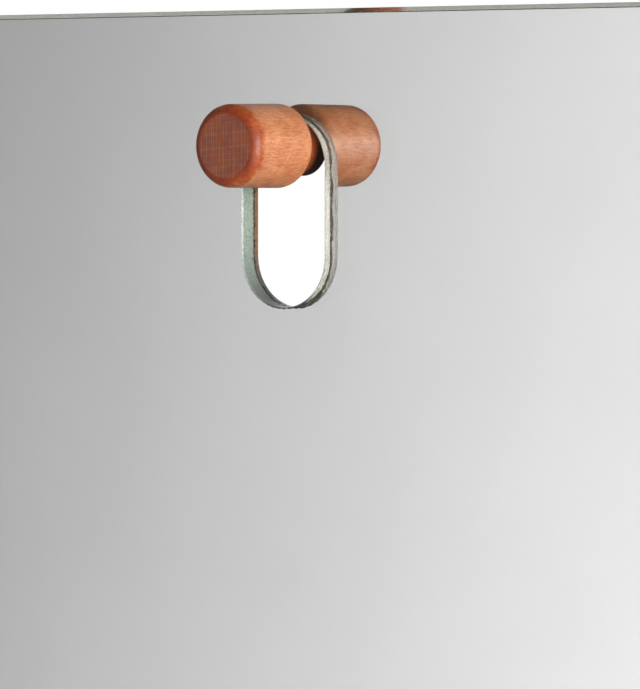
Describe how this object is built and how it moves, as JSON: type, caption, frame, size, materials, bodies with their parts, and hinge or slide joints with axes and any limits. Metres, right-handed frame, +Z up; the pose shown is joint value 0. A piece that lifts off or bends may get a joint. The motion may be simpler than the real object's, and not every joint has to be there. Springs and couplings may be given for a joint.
{
  "type": "wall mirror",
  "caption": "Frameless wall mirror with a round-ended slot near its top edge. It hangs on a turned wooden peg that screws to the wall, and lifts off for cleaning.",
  "frame": {"origin": "where the peg's axis meets the wall's face", "axes": "+X to the viewer's right, +Y into the wall along the peg's axis, +Z up; the mirror faces -Y"},
  "size_m": [0.4, 0.093, 0.6],
  "materials": {
    "float_glass": "polished, ground slot wall",
    "silver_coat": "silvered",
    "bonding_film": "matte",
    "hardboard": "pressed fibre",
    "felt": "felt",
    "beech": "oiled",
    "brass": "turned",
    "zinc_plated_steel": "zinc plated",
    "nylon": "moulded"
  },
  "bodies": {
    "wall_fixing": {"wall_plug": "nylon", "hanger_bolt": "zinc_plated_steel"},
    "peg": {"peg": "beech", "thread_insert": "brass"},
    "mirror": {"mirror_glass": "float_glass", "silvering": "silver_coat", "bonding_film": "bonding_film", "backing_board": "hardboard", "felt_pads": "felt"}
  },
  "joints": [
    {"name": "mirror_swing", "type": "hinge", "parent": "wall_fixing", "child": "peg", "pos_m": [0, 0, 0], "axis": [0, -1, 0], "range_deg": [-20, 20]},
    {"name": "mirror_lift", "type": "slide", "parent": "peg", "child": "mirror", "axis": [0, 0, 1], "range_m": [0, 0.0434]}
  ]
}
